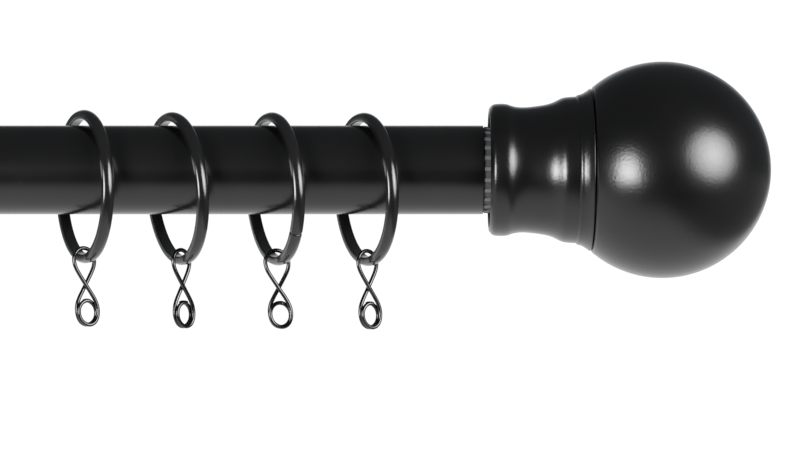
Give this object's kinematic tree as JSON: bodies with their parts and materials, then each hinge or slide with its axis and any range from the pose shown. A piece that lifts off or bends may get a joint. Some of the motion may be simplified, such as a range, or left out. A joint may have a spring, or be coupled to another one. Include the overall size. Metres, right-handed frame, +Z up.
{
  "type": "curtain pole with brackets",
  "caption": "Telescopic metal curtain pole with ball finials on bell-shaped collars, rings with twisted wire eyelets, and wall brackets with open cradles.",
  "frame": {"origin": "on the wall plane, midway between the two bracket plates, at the height of the pole's axis (the centre of the wall_bolts pattern)", "axes": "+X along the pole towards the fixed tube's finial, +Y into the wall, +Z up"},
  "size_m": [0.8941, 0.1191, 0.0883],
  "materials": {
    "tube_black": "satin black powder coat on steel tube",
    "finial_black": "semi-gloss black lacquer",
    "ring_black": "semi-gloss black coat on steel bar",
    "bracket_black": "satin black powder coat",
    "wire_gunmetal": "dark nickel plated wire",
    "plastic_grey": "dark grey moulded plastic",
    "plastic_black": "black moulded plastic",
    "zinc_steel": "bright zinc",
    "black_screw": "black oxide"
  },
  "bodies": {
    "brackets": {"wall_plate_right": "bracket_black", "arm_right": "bracket_black", "arm_screw_right": "zinc_steel", "cradle_right": "bracket_black", "cradle_screw_right": "black_screw", "wall_plate_left": "bracket_black", "arm_left": "bracket_black", "arm_screw_left": "zinc_steel", "cradle_left": "bracket_black", "cradle_screw_left": "black_screw"},
    "pole": {"outer_tube": "tube_black", "glide_bush": "plastic_black"},
    "inner": {"inner_tube": "tube_black", "rear_guide": "plastic_black"},
    "finial_right": {"finial_ball_right": "finial_black", "finial_collar_right": "finial_black", "finial_spigot_right": "plastic_grey", "finial_screw_right": "zinc_steel", "adaptor_sleeve": "plastic_grey"},
    "finial_left": {"finial_ball_left": "finial_black", "finial_collar_left": "finial_black", "finial_spigot_left": "plastic_grey", "finial_screw_left": "zinc_steel"},
    "thumb_right": {"thumb_screw_right": "bracket_black"},
    "thumb_left": {"thumb_screw_left": "bracket_black"},
    "ring_1": {"ring_1": "ring_black"},
    "eyelet_1": {"eyelet_1": "wire_gunmetal"},
    "ring_2": {"ring_2": "ring_black"},
    "eyelet_2": {"eyelet_2": "wire_gunmetal"},
    "ring_3": {"ring_3": "ring_black"},
    "eyelet_3": {"eyelet_3": "wire_gunmetal"},
    "ring_4": {"ring_4": "ring_black"},
    "eyelet_4": {"eyelet_4": "wire_gunmetal"}
  },
  "joints": [
    {"name": "pole_lift", "type": "slide", "parent": "brackets", "child": "pole", "axis": [0, 0, 1], "range_m": [0, 0.05]},
    {"name": "tube_extension", "type": "slide", "parent": "pole", "child": "inner", "axis": [-1, 0, 0], "range_m": [0, 0.5]},
    {"name": "finial_right_pull", "type": "slide", "parent": "pole", "child": "finial_right", "axis": [1, 0, 0], "range_m": [0, 0.04]},
    {"name": "finial_left_pull", "type": "slide", "parent": "inner", "child": "finial_left", "axis": [-1, 0, 0], "range_m": [0, 0.04]},
    {"name": "thumb_right_undo", "type": "slide", "parent": "brackets", "child": "thumb_right", "axis": [0, -1, 0], "range_m": [0, 0.004]},
    {"name": "thumb_left_undo", "type": "slide", "parent": "brackets", "child": "thumb_left", "axis": [0, -1, 0], "range_m": [0, 0.004]},
    {"name": "ring_1_slide", "type": "slide", "parent": "pole", "child": "ring_1", "axis": [1, 0, 0], "range_m": [-0.027, 0.02]},
    {"name": "ring_2_slide", "type": "slide", "parent": "pole", "child": "ring_2", "axis": [1, 0, 0], "range_m": [-0.02, 0.02]},
    {"name": "ring_3_slide", "type": "slide", "parent": "pole", "child": "ring_3", "axis": [1, 0, 0], "range_m": [-0.02, 0.019]},
    {"name": "ring_4_slide", "type": "slide", "parent": "pole", "child": "ring_4", "axis": [1, 0, 0], "range_m": [-0.019, 0.021]},
    {"name": "eyelet_1_swing", "type": "hinge", "parent": "ring_1", "child": "eyelet_1", "pos_m": [0.2249, -0.08472, -0.02805], "axis": [0.4227, -0.9063, 0], "range_deg": [-70, 60]},
    {"name": "eyelet_2_swing", "type": "hinge", "parent": "ring_2", "child": "eyelet_2", "pos_m": [0.25541, -0.08407, -0.02862], "axis": [0.4209, -0.9071, 0], "range_deg": [-70, 60]},
    {"name": "eyelet_3_swing", "type": "hinge", "parent": "ring_3", "child": "eyelet_3", "pos_m": [0.28575, -0.08443, -0.02877], "axis": [0.3671, -0.9302, 0], "range_deg": [-70, 60]},
    {"name": "eyelet_4_swing", "type": "hinge", "parent": "ring_4", "child": "eyelet_4", "pos_m": [0.31417, -0.08453, -0.02893], "axis": [0.3749, -0.927, 0], "range_deg": [-70, 60]}
  ]
}
